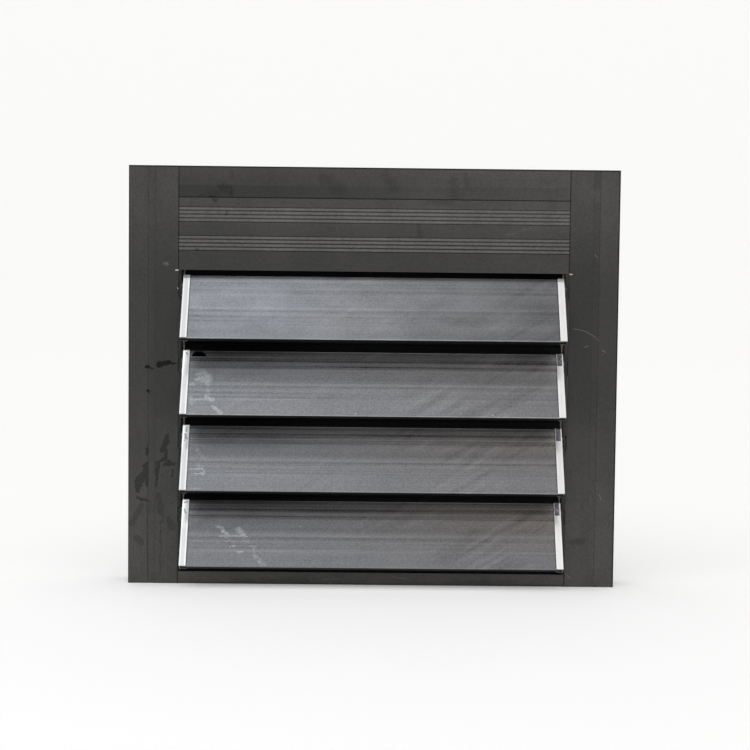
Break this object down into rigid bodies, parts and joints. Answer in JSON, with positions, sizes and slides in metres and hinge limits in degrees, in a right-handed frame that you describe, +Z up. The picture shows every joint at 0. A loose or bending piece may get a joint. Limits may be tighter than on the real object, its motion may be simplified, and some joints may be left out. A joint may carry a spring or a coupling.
{
  "type": "jalousie window",
  "caption": "Dark aluminium louvre window: opaque blades in bright end clips swing out together between box stiles, under a ribbed header board and above a thin sill tray.",
  "frame": {"origin": "middle of the sill's underside, half way through the frame's depth", "axes": "+X along the blades to the right as seen from the weather side, +Y from the weather side to the room side, +Z up"},
  "size_m": [0.6, 0.0909, 0.5135],
  "materials": {
    "dark_frame": "dark satin coating",
    "louvre_blade": "dark anodised, half gloss, with fine lengthwise drawing lines",
    "bright_clip": "polished",
    "pivot_bush": "black moulded"
  },
  "bodies": {
    "frame": {"left_stile": "dark_frame", "right_stile": "dark_frame", "top_rail": "dark_frame", "ribbed_board": "dark_frame", "sill": "dark_frame", "left_bush_1": "pivot_bush", "left_bush_2": "pivot_bush", "left_bush_3": "pivot_bush", "left_bush_4": "pivot_bush", "right_bush_1": "pivot_bush", "right_bush_2": "pivot_bush", "right_bush_3": "pivot_bush", "right_bush_4": "pivot_bush"},
    "louvre_1": {"blade_1": "louvre_blade", "left_clip_1": "bright_clip", "right_clip_1": "bright_clip"},
    "louvre_2": {"blade_2": "louvre_blade", "left_clip_2": "bright_clip", "right_clip_2": "bright_clip"},
    "louvre_3": {"blade_3": "louvre_blade", "left_clip_3": "bright_clip", "right_clip_3": "bright_clip"},
    "louvre_4": {"blade_4": "louvre_blade", "left_clip_4": "bright_clip", "right_clip_4": "bright_clip"}
  },
  "joints": [
    {"name": "louvre_1_tilt", "type": "hinge", "parent": "frame", "child": "louvre_1", "pos_m": [0, -0.0125, 0.3615], "axis": [1, 0, 0], "range_deg": [-58, 20]},
    {"name": "louvre_2_tilt", "type": "hinge", "parent": "frame", "child": "louvre_2", "pos_m": [0, -0.0125, 0.269], "axis": [1, 0, 0], "range_deg": [-58, 20]},
    {"name": "louvre_3_tilt", "type": "hinge", "parent": "frame", "child": "louvre_3", "pos_m": [0, -0.0125, 0.1765], "axis": [1, 0, 0], "range_deg": [-58, 20]},
    {"name": "louvre_4_tilt", "type": "hinge", "parent": "frame", "child": "louvre_4", "pos_m": [0, -0.0125, 0.084], "axis": [1, 0, 0], "range_deg": [-58, 20]}
  ],
  "couplings": [
    {"joint": "louvre_2_tilt", "follows": "louvre_1_tilt", "ratio": 1},
    {"joint": "louvre_3_tilt", "follows": "louvre_1_tilt", "ratio": 1},
    {"joint": "louvre_4_tilt", "follows": "louvre_1_tilt", "ratio": 1}
  ]
}
